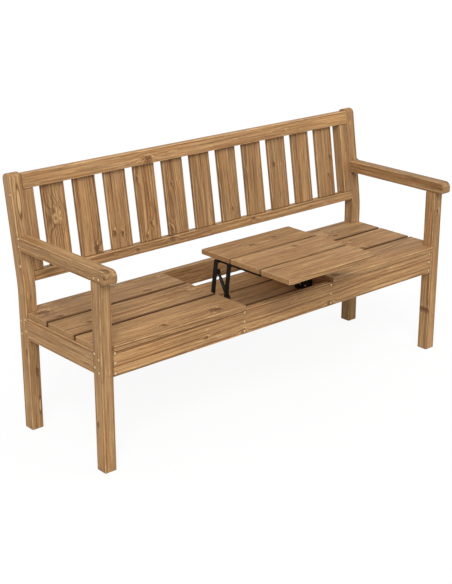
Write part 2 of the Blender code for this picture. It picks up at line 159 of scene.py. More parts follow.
# Directions of the grain, of the face's width and of the thickness, for each way that a board can lie
TILT = Matrix.Rotation(-RAKE, 3, "X")
AXES = {
    "flat_x": ((1, 0, 0), (0, 1, 0), (0, 0, 1)),
    "edge_x": ((1, 0, 0), (0, 0, 1), (0, -1, 0)),
    "flat_y": ((0, 1, 0), (1, 0, 0), (0, 0, -1)),
    "edge_y": ((0, 1, 0), (0, 0, 1), (1, 0, 0)),
    "post": ((0, 0, 1), (1, 0, 0), (0, 1, 0)),
    "back_z": (TILT @ Vector((0, 0, 1)), (1, 0, 0), TILT @ Vector((0, 1, 0))),
    "back_x": ((1, 0, 0), TILT @ Vector((0, 0, 1)), -(TILT @ Vector((0, 1, 0)))),
}
# Which of AXES a timber follows, by the start of its name; the legs follow post
TIMBERS_BY_WAY = {
    "flat_x": ("seat_board", "table_board", "shelf_board"),
    "edge_x": ("front_apron", "rear_apron"),
    "flat_y": ("armrest", "table_batten"),
    "edge_y": ("side_rail", "cross_rail"),
    "back_z": ("back_slat", "back_stile"),
    "back_x": ("back_top_rail", "back_bottom_rail"),
}
# Timbers whose ends butt against another one, where shade is painted into the joint
BUTTED = ("back_", "front_apron", "rear_apron", "side_rail", "cross_rail")


def way_of(name):
    for way, starts in TIMBERS_BY_WAY.items():
        if name.startswith(starts):
            return way
    return "post"


def upright(name, point):
    """A point of a rear leg as if the leg were straight; points of the other timbers stay."""
    if name.startswith("rear_leg") and point.z > BEND_HEIGHT:
        return Vector((point.x, point.y - (point.z - BEND_HEIGHT) * math.tan(RAKE), point.z))
    return Vector(point)


def upright_place(n, name):
    """The same as upright, for the places that a shader reads."""
    place = n.place()
    if not name.startswith("rear_leg"):
        return place
    height = n.node("ShaderNodeSeparateXYZ", {0: place}).outputs[2]
    above = n.math("MAXIMUM", n.math("SUBTRACT", height, BEND_HEIGHT), 0.0)
    lean = n.math("MULTIPLY", above, math.tan(RAKE))
    return n.vector("SUBTRACT", place, n.node("ShaderNodeCombineXYZ", {1: lean}).outputs[0])


def board_frame(node, name):
    """(middle, rotation, half sizes) of a timber in the axes that its grain follows."""
    turn = Matrix(AXES[way_of(name)]).transposed().to_3x3()
    inverse = turn.inverted()
    points = [inverse @ upright(name, vertex.co) for vertex in node.data.vertices]
    low = Vector([min(point[axis] for point in points) for axis in range(3)])
    high = Vector([max(point[axis] for point in points) for axis in range(3)])
    return turn @ ((low + high) / 2), turn, (high - low) / 2


# A knot: a point on the timber's face, its radius across the grain, its kind, and how many times longer
# it is along the grain. Dark and brown knots have a mottled heart, and like pale ones a rim that is bright
# on one side and dark on the other. A lens is a pale slit with a dark rim, and a swirl has dark arcs in
# pale wood. Strength is how well a kind shows, and crookedness how far its outline strays from an ellipse.
Knot = namedtuple("Knot", "point radius kind slenderness", defaults=(1.5,))
KNOT_STRENGTH = {"dark": 0.92, "brown": 0.90, "pale": 0.62, "lens": 0.90, "swirl": 0.50}
KNOT_CROOKEDNESS = {"dark": 1.7, "brown": 1.7, "pale": 1.7, "lens": 0.4, "swirl": 0.9}


def knot_marks(n, knot, local, centre, half, seed):
    """A knot's (distance, bright side, mottling, kind), and how far it pushes the rings aside."""
    on_broad_face = half.z - abs(centre.z) <= half.y - abs(centre.y)
    lengthwise = 1 / (knot.slenderness * knot.radius)
    crosswise = 1 / knot.radius
    scale = (lengthwise, crosswise, 0.0) if on_broad_face else (lengthwise, 0.0, crosswise)
    flat = n.vector("MULTIPLY", n.vector("SUBTRACT", local, centre), scale)
    shifted = n.vector("ADD", flat, (seed * 4.1 % 9, knot.radius * 700 % 5, 0.0))
    inputs = {"Vector": shifted, "Scale": 0.9, "Detail": 3.0, "Roughness": 0.62}
    warp = n.vector("SUBTRACT", n.node("ShaderNodeTexNoise", inputs).outputs[1], (0.5, 0.5, 0.5))
    bent = n.vector("ADD", flat, n.vector("MULTIPLY", warp, (KNOT_CROOKEDNESS[knot.kind],) * 3))
    reach = n.vector("LENGTH", n.vector("MULTIPLY", bent, (1.0, 1.0, 0.0 if on_broad_face else 1.0)))
    lit = n.span(n.vector("DOT_PRODUCT", bent, (0.45, 0.9, 0.9)), -0.2, 0.9)
    mottle = n.noise(shifted, (2.6, 2.6, 2.6), 3.0, 0.7)
    bare = n.vector("LENGTH", flat)
    pull = n.math("EXPONENT", n.math("MULTIPLY", n.math("MULTIPLY", bare, bare), -0.28))
    return (reach, lit, mottle, knot.kind), n.math("MULTIPLY", pull, knot.radius * 1.6)


def knot_colour(n, colour, mark):
    """The timber's colour with one knot over it."""
    reach, lit, mottle, kind = mark
    strength = KNOT_STRENGTH[kind]
    if kind == "lens":
        colour = n.mix(n.span(reach, 0.55, 0.85, strength, 0.0), colour, KNOT_HALO)
        rim = n.math("MULTIPLY", n.span(reach, 0.70, 0.92), n.span(reach, 1.0, 1.35, 0.75, 0.0))
        return n.mix(rim, colour, STREAK_BROWN)
    if kind == "swirl":
        arcs = n.span(n.math("SINE", n.math("MULTIPLY", reach, 9.0)), 0.2, 0.9)
        arcs = n.math("MULTIPLY", arcs, n.span(lit, 0.3, 0.8, 0.9, 0.1))
        heart = n.mix(arcs, KNOT_HALO, STREAK_BROWN)
    elif kind == "pale":
        heart = n.mix(n.span(mottle, 0.38, 0.62), KNOT_HALO, HONEY)
    else:
        heart = n.mix(n.span(mottle, 0.40, 0.58), KNOT_DARK, KNOT_BROWN)
    colour = n.mix(n.span(reach, 0.50, 1.05, strength, 0.0), colour, heart)
    rim = n.math("MULTIPLY", n.span(reach, 0.62, 0.92), n.span(reach, 1.05, 1.55, 1.0, 0.0))
    bright = n.math("MULTIPLY", n.math("MULTIPLY", rim, lit), n.span(mottle, 0.44, 0.58, 0.0, 0.90))
    colour = n.mix(bright, colour, KNOT_HALO)
    dark = n.math("MULTIPLY", rim, n.math("SUBTRACT", 1.0, lit))
    dark = n.math("MULTIPLY", dark, n.span(mottle, 0.40, 0.56, strength, 0.15))
    return n.mix(dark, colour, KNOT_DARK)


def log_radius(n, seeded, along, across, deep, pith):
    """Distance from the pith, which wanders along the log, in a log that swells unevenly."""
    away = n.math("ADD", across, n.wave(n.noise(seeded, (1.6, 0.0, 0.0), 1.0), 0.05))
    away = n.math("SUBTRACT", away, pith[0])
    below = n.math("SUBTRACT", deep, pith[1])
    radius = n.math("SQRT", n.math("ADD", n.math("MULTIPLY", away, away), n.math("MULTIPLY", below, below)))
    radius = n.math("ADD", radius, n.wave(n.noise(seeded, (1.3, 12.0, 12.0), 3.0), 0.016))
    radius = n.math("ADD", radius, n.wave(n.noise(seeded, (9.0, 80.0, 80.0), 2.0), 0.0030))
    return n.math("MULTIPLY_ADD", along, TAPER, radius)


def late_wood(n, radius, spacing, seed):
    """How much dark late wood lies at this radius, with years that differ in width and depth."""
    yearly = n.node("ShaderNodeCombineXYZ", {0: radius, 1: seed * 1.37}).outputs[0]
    radius = n.math("ADD", radius, n.wave(n.noise(yearly, (70.0, 1.0, 1.0), 1.0), 0.009))
    year = n.math("FRACT", n.math("DIVIDE", radius, spacing))
    late = n.math("MULTIPLY", n.span(year, 0.36, 0.88), n.span(year, 0.90, 1.0, 1.0, 0.0))
    return n.math("MULTIPLY", late, n.span(n.noise(yearly, (38.0, 3.0, 3.0), 1.0), 0.3, 0.68, 0.15, 1.0))


def edge_wear_shade_and_sheen(n, name, colour, seeded, along, across, deep, half, seams):
    """The colour with long edges lightened by wear and by painted highlight, painted shade in seams and
    butt joints, and ends that took more stain.
    """
    side = n.math("SUBTRACT", half.y, n.math("ABSOLUTE", across))
    face = n.math("SUBTRACT", half.z, n.math("ABSOLUTE", deep))
    tip = n.math("SUBTRACT", half.x, n.math("ABSOLUTE", along))
    inward = n.math("MAXIMUM", side, face)
    # Long edges and board ends lighter where worn, and as painted highlight where the rounded arris catches
    # the light
    wear_and_sheen = n.span(n.noise(seeded, (16.0, 40.0, 40.0), 3.0, 0.6), 0.40, 0.62, 0.08, 0.62)
    wear_and_sheen = n.math("MULTIPLY", n.span(inward, 0.0012, 0.0030, 1.0, 0.0), wear_and_sheen)
    line = n.math("MULTIPLY", n.span(inward, 0.0032, 0.0046), n.span(inward, 0.0055, 0.0085, 0.36, 0.0))
    colour = n.mix(line, colour, LATE_WOOD)
    if way_of(name) == "flat_x":
        rim = n.math("MULTIPLY", n.span(tip, 0.0005, 0.0012), n.span(tip, 0.0016, 0.0032, 0.55, 0.0))
        wear_and_sheen = n.math("MAXIMUM", wear_and_sheen, rim)
    colour = n.mix(wear_and_sheen, colour, PALE_WEAR_AND_SHEEN)
    # Painted shade along the seams beside the next board
    for seam_shade, edge in zip(seams, (-1.0, 1.0)):
        if seam_shade:
            gap = n.math("MULTIPLY_ADD", across, -edge, half.y)
            colour = n.mix(n.span(gap, 0.0012, 0.0040, seam_shade, 0.0), colour, SEAM_SHADE)
    # Painted shade where a timber's end butts against another one
    if name.startswith(BUTTED):
        return n.mix(n.span(tip, 0.0014, 0.0032, 0.55, 0.0), colour, SEAM_SHADE)
    return n.mix(n.span(tip, 0.0004, 0.0012, 0.7, 0.0), colour, END_GRAIN)


def pine(name, node, seed, pith, spacing, tone, streaks, late_depth, knots, seams):
    """Pine cut from a log whose pith lies at pith = (across, deep) metres from the board's middle line.
    Seams tell how much shade is painted along its low and its high long edge."""
    n = new_material("pine_" + name)
    middle, turn, half = board_frame(node, name)
    inverse = turn.inverted()
    inputs = {0: upright_place(n, name), 1: middle, 2: turn.to_euler()}
    local = n.node("ShaderNodeMapping", inputs, vector_type="TEXTURE").outputs[0]
    seeded = n.vector("ADD", local, (seed * 3.17 % 11, seed * 1.73 % 7, seed * 2.39 % 5))
    along, across, deep = n.node("ShaderNodeSeparateXYZ", {0: local}).outputs

    radius = log_radius(n, seeded, along, across, deep, pith)
    marks = []
    for number, knot in enumerate(knots):
        centre = inverse @ (upright(name, Vector(knot.point)) - middle)
        mark, pull = knot_marks(n, knot, local, centre, half, seed + number * 0.37)
        radius = n.math("ADD", radius, pull)
        marks.append(mark)
    late = late_wood(n, radius, spacing, seed)

    broad = n.noise(seeded, (1.8, 40.0, 40.0), 4.0, 0.66)
    narrow = n.noise(seeded, (4.5, 190.0, 190.0), 4.0, 0.72)
    fibre = n.noise(seeded, (30.0, 1100.0, 1100.0), 1.0)
    vein = n.noise(seeded, (2.8, 120.0, 120.0), 4.0, 0.72, 0.2)
    crack = n.noise(seeded, (5.0, 240.0, 240.0), 2.0, 0.6)
    fleck = n.noise(seeded, (19.0, 210.0, 210.0), 3.0, 0.65, 0.3)
    patch = n.noise(seeded, (2.4, 8.0, 8.0), 2.0)
    weather = n.noise(seeded, (13.0, 46.0, 46.0), 4.0, 0.7)

    colour = n.mix(n.span(broad, 0.30, 0.70, 0.12, 0.92), EARLY_DARK, EARLY_LIGHT)
    colour = n.mix(n.math("MULTIPLY", n.span(patch, 0.42, 0.72), 0.35), colour, HONEY)
    colour = n.mix(n.span(weather, 0.50, 0.75, 0.0, 0.40), colour, GREY_WEAR)
    colour = n.mix(n.math("MULTIPLY", late, late_depth), colour, LATE_WOOD)
    colour = n.mix(n.math("MULTIPLY", n.span(vein, 0.55, 0.70), streaks), colour, STREAK_RED)
    colour = n.mix(n.math("MULTIPLY", n.span(crack, 0.57, 0.69), streaks), colour, STREAK_BROWN)
    colour = n.mix(n.span(fleck, 0.59, 0.69, 0.0, 0.62), colour, STREAK_BROWN)
    colour = n.mix(n.span(vein, 0.30, 0.44, 0.40, 0.0), colour, PALE_WEAR_AND_SHEEN)
    colour = n.mix(n.span(fleck, 0.29, 0.39, 0.62, 0.0), colour, PALE_WEAR_AND_SHEEN)
    for mark in marks:
        colour = knot_colour(n, colour, mark)
    colour = edge_wear_shade_and_sheen(n, name, colour, seeded, along, across, deep, half, seams)
    shade = n.math("MULTIPLY", n.span(narrow, 0.27, 0.73, 0.70, 1.27), n.span(fibre, 0.2, 0.8, 0.93, 1.07))
    shade = n.math("MULTIPLY", shade, tone)
    tint = {0: shade, 1: shade, 2: n.math("MULTIPLY", shade, BLUE)}
    colour = n.mix(1.0, colour, n.node("ShaderNodeCombineColor", tint).outputs[0], "MULTIPLY")

    height = n.math("MULTIPLY_ADD", late, 0.45, n.math("MULTIPLY", fibre, 0.35))
    height = n.math("MULTIPLY_ADD", narrow, 0.9, height)
    height = n.math("MULTIPLY_ADD", n.span(crack, 0.57, 0.69), -0.8, height)
    height = n.math("MULTIPLY_ADD", n.span(fleck, 0.58, 0.72), -0.5, height)
    roughness = n.math("MULTIPLY_ADD", fibre, 0.16, ROUGHNESS - 0.08)
    roughness = n.math("MULTIPLY_ADD", late, -0.10, roughness)
    n.shader.inputs["Specular IOR Level"].default_value = 0.3
    return n.finish(colour, roughness, height, 0.0006, 0.6)


def coated_steel():
    """Black powder coat with an orange-peel surface and a little dust."""
    n = new_material("black_powder_coat")
    place = n.place()
    peel = n.noise(place, (900.0, 900.0, 900.0), 2.0)
    smudge = n.noise(place, (28.0, 28.0, 28.0), 3.0)
    dust = n.noise(place, (260.0, 260.0, 260.0), 4.0, 0.7)
    colour = n.mix(n.span(smudge, 0.35, 0.75, 0.0, 0.12), BLACK_COAT, COAT_WORN)
    colour = n.mix(n.span(dust, 0.62, 0.74, 0.0, 0.35), colour, COAT_WORN)
    roughness = n.span(smudge, 0.3, 0.7, 0.46, 0.62)
    n.shader.inputs["Specular IOR Level"].default_value = 0.22
    return n.finish(colour, roughness, n.math("MULTIPLY_ADD", dust, 0.4, peel), 0.00012, 0.6)


def zinc_plating():
    """Yellow zinc on screw heads, dulled by the weather, so it is more like paint than like a mirror."""
    n = new_material("yellow_zinc_screw")
    place = n.place()
    lines = n.noise(place, (40.0, 900.0, 900.0), 2.0)
    tarnish = n.noise(place, (120.0, 120.0, 120.0), 3.0)
    colour = n.mix(n.span(tarnish, 0.42, 0.75, 0.0, 0.5), ZINC, ZINC_DULL)
    roughness = n.math("MULTIPLY_ADD", lines, 0.16, 0.34)
    n.shader.inputs["Metallic"].default_value = 0.25
    return n.finish(colour, roughness, lines, 0.00006, 0.5)


def crushed_and_shaded_wood():
    """Wood pressed dark round a screw head, darkened also as painted shade of the countersink."""
    n = new_material("countersink_wood")
    fibre = n.noise(n.place(), (700.0, 700.0, 700.0), 3.0)
    colour = n.mix(n.span(fibre, 0.3, 0.7), CRUSHED_AND_SHADED, LATE_WOOD)
    return n.finish(colour, n.span(fibre, 0.2, 0.8, 0.7, 0.9), fibre, 0.0003, 0.7)


def recess_shade():
    """The inside of a screw's recess, dark as painted shade, with specks of dull zinc."""
    n = new_material("screw_recess")
    grit = n.noise(n.place(), (1500.0, 1500.0, 1500.0), 2.0)
    colour = n.mix(n.span(grit, 0.3, 0.7, 0.0, 0.5), RECESS, ZINC_DULL)
    n.shader.inputs["Metallic"].default_value = 0.3
    return n.finish(colour, n.span(grit, 0.2, 0.8, 0.5, 0.8), grit, 0.0001, 0.5)


# Knots placed where the photo shows them
KNOTS = {
    "back_slat_01": [Knot((-0.637, 0.3095, 0.710), 0.018, "swirl", 1.4),
                     Knot((-0.640, 0.3095, 0.734), 0.005, "dark", 0.8)],
    "back_slat_02": [Knot((-0.487, 0.2895, 0.576), 0.010, "dark")],
    "back_slat_03": [Knot((-0.408, 0.2945, 0.614), 0.009, "brown"),
                     Knot((-0.375, 0.2935, 0.607), 0.008, "dark")],
    "back_slat_04": [Knot((-0.289, 0.3195, 0.781), 0.006, "dark"),
                     Knot((-0.247, 0.2955, 0.619), 0.006, "dark"),
                     Knot((-0.270, 0.2895, 0.578), 0.006, "brown")],
    "back_slat_05": [Knot((-0.160, 0.2895, 0.579), 0.010, "dark"),
                     Knot((-0.140, 0.3155, 0.740), 0.004, "brown")],
    "back_slat_07": [Knot((0.135, 0.2925, 0.600), 0.005, "brown")],
    "back_slat_09": [Knot((0.360, 0.3115, 0.729), 0.007, "brown")],
    "back_slat_11": [Knot((0.663, 0.3095, 0.710), 0.007, "dark"),
                     Knot((0.650, 0.2955, 0.640), 0.005, "brown")],
    "back_top_rail": [Knot((-0.244, 0.3145, 0.847), 0.013, "dark"),
                      Knot((0.420, 0.3145, 0.850), 0.006, "pale")],
    "back_bottom_rail": [Knot((-0.172, 0.2705, 0.555), 0.009, "dark"),
                         Knot((0.219, 0.2705, 0.552), 0.007, "brown"),
                         Knot((-0.330, 0.2705, 0.545), 0.006, "brown")],
    "rear_leg_left": [Knot((-0.769, 0.2641, 0.212), 0.006, "dark", 3.0),
                      Knot((-0.765, 0.2641, 0.085), 0.005, "lens", 6.0),
                      Knot((-0.800, 0.2770, 0.285), 0.005, "dark", 2.5),
                      Knot((-0.777, 0.3060, 0.791), 0.0075, "lens", 7.0)],
    "front_leg_left": [Knot((-0.800, -0.1210, 0.163), 0.006, "dark", 2.0),
                       Knot((-0.772, -0.1519, 0.340), 0.004, "pale", 3.0)],
    "front_leg_right": [Knot((0.780, -0.1515, 0.563), 0.007, "brown"),
                        Knot((0.758, -0.1515, 0.165), 0.004, "dark", 3.0)],
    "armrest_left": [Knot((-0.783, -0.1645, 0.680), 0.012, "dark", 1.3),
                     Knot((-0.772, -0.1800, 0.660), 0.007, "dark", 1.2),
                     Knot((-0.790, -0.1400, 0.680), 0.006, "pale", 1.6)],
    "front_apron": [Knot((-0.378, -0.1505, 0.353), 0.007, "dark"),
                    Knot((-0.212, -0.1505, 0.335), 0.008, "brown"),
                    Knot((0.204, -0.1505, 0.335), 0.009, "dark")],
    "seat_board_rear_left": [Knot((-0.362, 0.1775, 0.426), 0.011, "dark"),
                             Knot((-0.248, 0.2635, 0.426), 0.009, "pale"),
                             Knot((-0.750, 0.2355, 0.426), 0.018, "dark"),
                             Knot((-0.731, 0.1705, 0.426), 0.011, "brown")],
    "seat_board_middle_left": [Knot((-0.243, 0.0805, 0.426), 0.014, "pale"),
                               Knot((-0.690, 0.0655, 0.426), 0.009, "brown")],
    "seat_board_front_left": [Knot((-0.308, -0.1195, 0.426), 0.015, "dark"),
                              Knot((-0.527, -0.1155, 0.426), 0.009, "dark")],
    "seat_board_rear_right": [Knot((0.545, 0.2215, 0.426), 0.017, "pale"),
                              Knot((0.585, 0.1955, 0.426), 0.009, "dark")],
    "seat_board_middle_right": [Knot((0.543, 0.0155, 0.426), 0.011, "brown"),
                                Knot((0.558, 0.0905, 0.426), 0.011, "pale")],
    "seat_board_front_right": [Knot((0.238, -0.1345, 0.426), 0.013, "brown")],
    "table_board_rear": [Knot((-0.039, -0.0015, 0.567), 0.011, "brown"),
                         Knot((0.080, 0.0155, 0.567), 0.006, "dark")],
    "table_board_middle": [Knot((-0.190, -0.1045, 0.567), 0.011, "pale"),
                           Knot((0.060, -0.1095, 0.567), 0.009, "brown")],
}


def cut(pith, tone=1.0, streaks=0.55, late_depth=0.6, spacing=0.0075):
    """Where a board lies in its log, how light it is, how strong its streaks and its rings are, and how
    wide a year's ring is."""
    return {"pith": pith, "spacing": spacing, "tone": tone, "streaks": streaks, "late_depth": late_depth}


CUTS = {
    "seat_board_front_left": cut((0.005, -0.045), tone=1.06, streaks=0.60),
    "seat_board_middle_left": cut((-0.020, -0.035), tone=0.99, streaks=0.85),
    "seat_board_rear_left": cut((0.010, -0.040), tone=0.93, streaks=0.75),
    "seat_board_front_right": cut((0.060, -0.050), tone=0.99, streaks=0.75, late_depth=0.80),
    "seat_board_middle_right": cut((-0.050, -0.045), tone=0.99, streaks=0.80, late_depth=0.75),
    "seat_board_rear_right": cut((0.000, -0.038), tone=0.96, streaks=0.80, late_depth=0.75),
    "table_board_front": cut((0.015, -0.040), tone=0.99, streaks=0.50, late_depth=0.55),
    "table_board_middle": cut((-0.040, -0.050), tone=0.98, streaks=0.70),
    "table_board_rear": cut((0.030, -0.036), tone=0.91, streaks=0.90),
    "front_apron": cut((0.110, -0.020), tone=1.18, streaks=0.60, late_depth=0.95, spacing=0.0150),
    "back_top_rail": cut((0.060, -0.030), tone=1.13, streaks=0.50, spacing=0.0110),
    # The rear apron is toned down as painted shade for the dark inside of the box
    "rear_apron": cut((0.020, -0.060), tone=0.80, streaks=0.80),
    "shelf_board_1": cut((0.010, -0.040), tone=1.16, streaks=0.80),
    "shelf_board_2": cut((-0.030, -0.040), tone=1.10, streaks=0.80),
    "shelf_board_3": cut((0.040, -0.040), tone=1.18, streaks=0.80),
}
# How much lighter than usual a timber without a cut of its own is
LIGHTER = {"armrest_right": 0.90, "rear_leg_right": 0.90, "side_rail_left": 1.10}
# Painted shade along the low and the high long edge of the timbers that lie beside another one
SEAMS = {
    "back_stile_left": (0.40, 0.0),
    "back_stile_right": (0.0, 0.85),
    "shelf_board": (0.6, 0.6),
    "seat_board_front": (0.0, 0.85),
    "seat_board_middle": (0.85, 0.85),
    "seat_board_rear": (0.85, 0.85),
    "table_board_front": (0.0, 0.50),
    "table_board_middle": (0.50, 0.50),
    "table_board_rear": (0.50, 0.0),
}


def usual_cut(index, name):
    """The cut of a timber that has none of its own, which varies with its place in the list of timbers."""
    swing = math.sin(index * 12.9898) * 0.5
    pith = (0.05 * math.sin(index * 7.1), -0.035 - 0.02 * swing)
    spacing = 0.0085 + 0.0022 * math.sin(index * 3.3)
    if name.startswith("back_slat"):
        tone, streaks, late_depth = 0.94, 0.90, 0.95
    else:
        tone, streaks, late_depth = 0.98, 0.60, 0.62
    tone = (tone + 0.08 * swing) * LIGHTER.get(name, 1.0)
    return cut(pith, tone, streaks + 0.2 * swing, late_depth, spacing)


def seams_of(name):
    for start, seam_shade in SEAMS.items():
        if name.startswith(start):
            return seam_shade
    return (0.0, 0.0)


# Materials of the CAD's nodes
STEEL_NAMES = ("front_arm", "rear_arm", "hinge_bracket", "table_bar", "strut")
black = coated_steel()
zinc = zinc_plating()
recess = recess_shade()
crushed_and_shaded = crushed_and_shaded_wood()
for index, name in enumerate(sorted(nodes)):
    if name.startswith(STEEL_NAMES):
        coat = black
    else:
        timber_cut = CUTS.get(name, usual_cut(index, name))
        knots = KNOTS.get(name, ())
        coat = pine(name, nodes[name], index + 1, knots=knots, seams=seams_of(name), **timber_cut)
    for material_slot in nodes[name].material_slots:
        material_slot.material = coat


def new_piece(name, form, body, slot, *materials):
    """An object made of form, riding on a body; its faces' material numbers count through materials."""
    mesh = bpy.data.meshes.new(name)
    bmesh.ops.recalc_face_normals(form, faces=form.faces)
    form.to_mesh(mesh)
    form.free()
    for material in materials:
        mesh.materials.append(material)
    piece = bpy.data.objects.new(name, mesh)
    bpy.context.scene.collection.objects.link(piece)
    mesh.shade_smooth()
    mesh.set_sharp_from_angle(angle=math.radians(32))
    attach(piece, body)
    return piece


def ring_of(form, matrix, radius, height, steps, lobes=0, depth=0.0):
    """A ring of vertices; with lobes it is a star of that many rounded points."""
    ring = []
    for step in range(steps):
        angle = 2 * math.pi * step / steps
        reach = radius * (1 + depth * math.cos(lobes * angle))
        point = Vector((reach * math.cos(angle), reach * math.sin(angle), height))
        ring.append(form.verts.new(matrix @ point))
    return ring


def bridge(form, first, second, material=0):
    """A band of faces between two rings of as many vertices."""
    for index in range(len(first)):
        face = form.faces.new((first[index - 1], first[index], second[index], second[index - 1]))
        face.material_index = material


def facing(point, normal, turn=0.0):
    """A matrix whose Z points along normal from point."""
    axis = Vector(normal).to_track_quat("Z", "X").to_matrix().to_4x4()
    return Matrix.Translation(point) @ axis @ Matrix.Rotation(turn, 4, "Z")


# How deep a head or cap starts below the face that it stands on
SUNK = 0.0002
# A screw head's rings as shares of its radius and of its rise, and the pressed wood round it, darkened
# with painted shade, as shares of the radius and heights. Its recess is a star, given as (lobes, depth),
# and each head is turned against the last one.
HEAD_RINGS = ((1.0, 0.12), (0.86, 0.55), (0.62, 0.92))
COLLAR_RINGS = ((1.02, -SUNK), (1.45, -SUNK), (1.36, 0.00012), (1.04, 0.00016))
RECESS_TOP = 0.40
RECESS_FLOOR = 0.34
RECESS_FLOOR_HEIGHT = 0.18
RECESS_STAR = (6, 0.16)
HEAD_STEPS = 36
HEAD_TURN = 0.7
# Radius and rise of the heads of wood screws, bracket screws and table bar screws
WOOD_HEAD = (0.0044, 0.0007)
BRACKET_HEAD = (0.0034, 0.00035)
BAR_HEAD = (0.0042, 0.0012)


def screw_head(form, matrix, radius, rise, collar):
    """A raised countersunk head with a six-lobed recess dark with painted shade, with or without a ring of
    pressed wood that is darkened with painted shade.
    """
    rings = [ring_of(form, matrix, radius, -SUNK, HEAD_STEPS)]
    for share, height in HEAD_RINGS:
        rings.append(ring_of(form, matrix, radius * share, height * rise, HEAD_STEPS))
    rings.append(ring_of(form, matrix, radius * RECESS_TOP, rise, HEAD_STEPS, *RECESS_STAR))
    for first, second in zip(rings, rings[1:]):
        bridge(form, first, second)
    floor_height = RECESS_FLOOR_HEIGHT * rise
    floor_ring = ring_of(form, matrix, radius * RECESS_FLOOR, floor_height, HEAD_STEPS, *RECESS_STAR)
    bridge(form, rings[-1], floor_ring, 1)
    form.faces.new(floor_ring).material_index = 1
    form.faces.new(list(reversed(rings[0])))
    if collar:
        lip = [ring_of(form, matrix, radius * share, height, HEAD_STEPS) for share, height in COLLAR_RINGS]
        for first, second in zip(lip, lip[1:] + lip[:1]):
            bridge(form, first, second, 2)


def screws(name, body, places, head=WOOD_HEAD, collar=True):
    """One object with a screw head at each (point, outward direction)."""
    form = bmesh.new()
    for index, (point, normal) in enumerate(places):
        screw_head(form, facing(point, normal, index * HEAD_TURN), *head, collar)
    return new_piece(name, form, body, "steel", zinc, recess, crushed_and_shaded)


def round_piece(name, body, matrix, profile, steps=32):
    """A turned piece along its matrix's Z, from (radius, height) pairs, closed at both ends."""
    form = bmesh.new()
    rings = [ring_of(form, matrix, radius, height, steps) for radius, height in profile]
    for first, second in zip(rings, rings[1:]):
        bridge(form, first, second)
    form.faces.new(rings[-1])
    form.faces.new(list(reversed(rings[0])))
    return new_piece(name, form, body, "steel", black)


# Screws of the timber frame that the photo shows: places on the apron, and (y, z) on the outer sides
SIDES = ((-1, "left"), (1, "right"))
APRON_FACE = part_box("front_apron")[0].y
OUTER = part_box("front_leg_left")[0].x
APRON_SCREW_COLUMNS = (0.208, 0.747)
APRON_SCREW_HEIGHTS = (0.331, 0.365, 0.398)
SIDE_SCREWS = {
    "front_leg": [(-0.1145, 0.400), (-0.1145, 0.355), (-0.1365, 0.386), (-0.1365, 0.342)],
    "rear_leg": [(0.2985, 0.390), (0.2985, 0.344), (0.2725, 0.400), (0.2725, 0.359),
                 (0.2875, 0.676), (0.2855, 0.650), (0.2835, 0.583), (0.3205, 0.815)],
    "armrest": [(-0.1265, 0.649), (-0.1505, 0.650)],
}
spots = [((side * x, APRON_FACE, z), (0, -1, 0))
         for side, word in SIDES for x in APRON_SCREW_COLUMNS for z in APRON_SCREW_HEIGHTS]
screws("apron_screws", "frame", spots)
for side, word in SIDES:
    for kind, places in SIDE_SCREWS.items():
        spots = [((-side * OUTER, y, z), (side, 0, 0)) for y, z in places]
        screws(f"{kind}_screws_{word}", "frame", spots)

# The lifting mechanism on the right. The front pivot is measured from the bracket's front lower corner, the
# strut's lower stud along the front arm and its upper one along the rear arm.
PLATE_THICKNESS = 0.003
FRONT_PIVOT_FROM_CORNER = Vector((0, 0.013, 0.0075))
PIVOT_SPACING = Vector((0, 0.062, 0))
ARM_LINE = Matrix.Rotation(math.radians(7.65), 3, "X") @ Vector((0, 0, 1))
LOWER_STUD_HEIGHT = 0.069
UPPER_STUD_HEIGHT = 0.155
# How much thinner than the strut's tube its eye and its rod's head are, on each side
STRUT_EYE_STEP = 0.0005
bracket_low, bracket_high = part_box("hinge_bracket_right")
PLATE_FACE = bracket_high.x - PLATE_THICKNESS
ARM_FACE = bracket_low.x
FRONT_PIVOT = Vector((0, bracket_low.y, bracket_low.z)) + FRONT_PIVOT_FROM_CORNER
STRUT_PIN = FRONT_PIVOT + ARM_LINE * LOWER_STUD_HEIGHT
STRUT_HEAD = FRONT_PIVOT + PIVOT_SPACING + ARM_LINE * UPPER_STUD_HEIGHT
STRUT_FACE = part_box("strut_tube_right")[0].x + STRUT_EYE_STEP
# Profiles of the caps, as (radius, height), and (y, z) of the bracket's screws from the front pivot
PIN_CAP = ((0.0068, -SUNK), (0.0070, 0.0004), (0.0062, 0.0016), (0.0034, 0.0022))
STRUT_CAP = ((0.0044, -SUNK), (0.0046, 0.0002), (0.0040, 0.0006), (0.0020, 0.0007))
BRACKET_SCREWS = ((0.0470, 0.010), (0.0195, 0.011), (-0.002, 0.031), (0.064, 0.031))
# Table bar screws: how many, how far from the bar's ends, and how far across its flange
BAR_SCREW_COUNT = 4
BAR_END_MARGIN = 0.016
FLANGE_MIDDLE = 0.010

